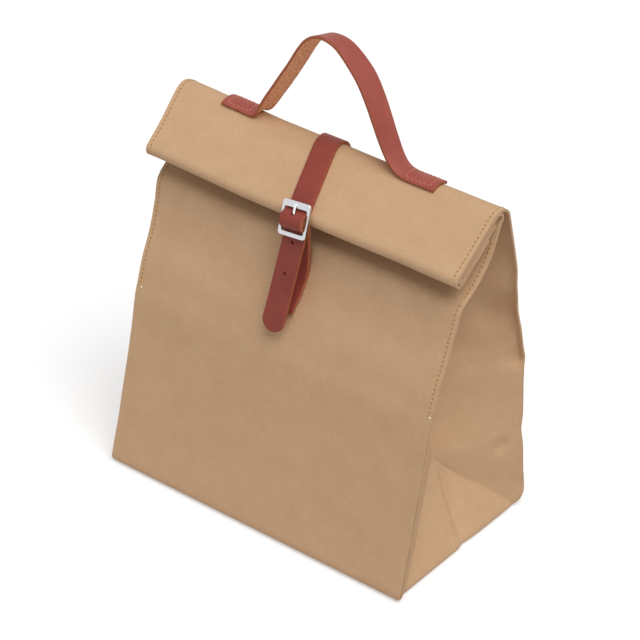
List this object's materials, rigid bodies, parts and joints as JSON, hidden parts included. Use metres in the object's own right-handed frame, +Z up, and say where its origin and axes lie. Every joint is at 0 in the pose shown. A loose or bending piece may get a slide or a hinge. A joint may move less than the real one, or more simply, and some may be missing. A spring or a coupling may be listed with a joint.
{
  "type": "roll-top paper lunch bag",
  "caption": "Standing kraft paper lunch bag with side gussets, a top rolled forward over the front, a leather carry handle and a leather strap with a pin buckle that holds the roll shut.",
  "frame": {"origin": "middle of the base, on the surface that the bag stands on", "axes": "+Z up, +X along the bag's width to the right seen from the front, +Y from the front to the back"},
  "size_m": [0.2216, 0.134, 0.3042],
  "materials": {
    "kraft_paper": "matt washable kraft paper, faintly mottled",
    "leather": "smooth red-brown leather, rough tan flesh side",
    "nickel_plate": "polished nickel plate"
  },
  "bodies": {
    "bag": {"bag": "kraft_paper", "handle": "leather", "closure_strap": "leather", "buckle_strap": "leather", "buckle_frame": "nickel_plate"},
    "prong": {"buckle_prong": "nickel_plate"}
  },
  "joints": [
    {"name": "prong_pivot", "type": "hinge", "parent": "bag", "child": "prong", "pos_m": [0.00236, -0.04294, 0.20724], "axis": [0.9962, 0.0298, 0.0819], "range_deg": [0, 12]}
  ]
}
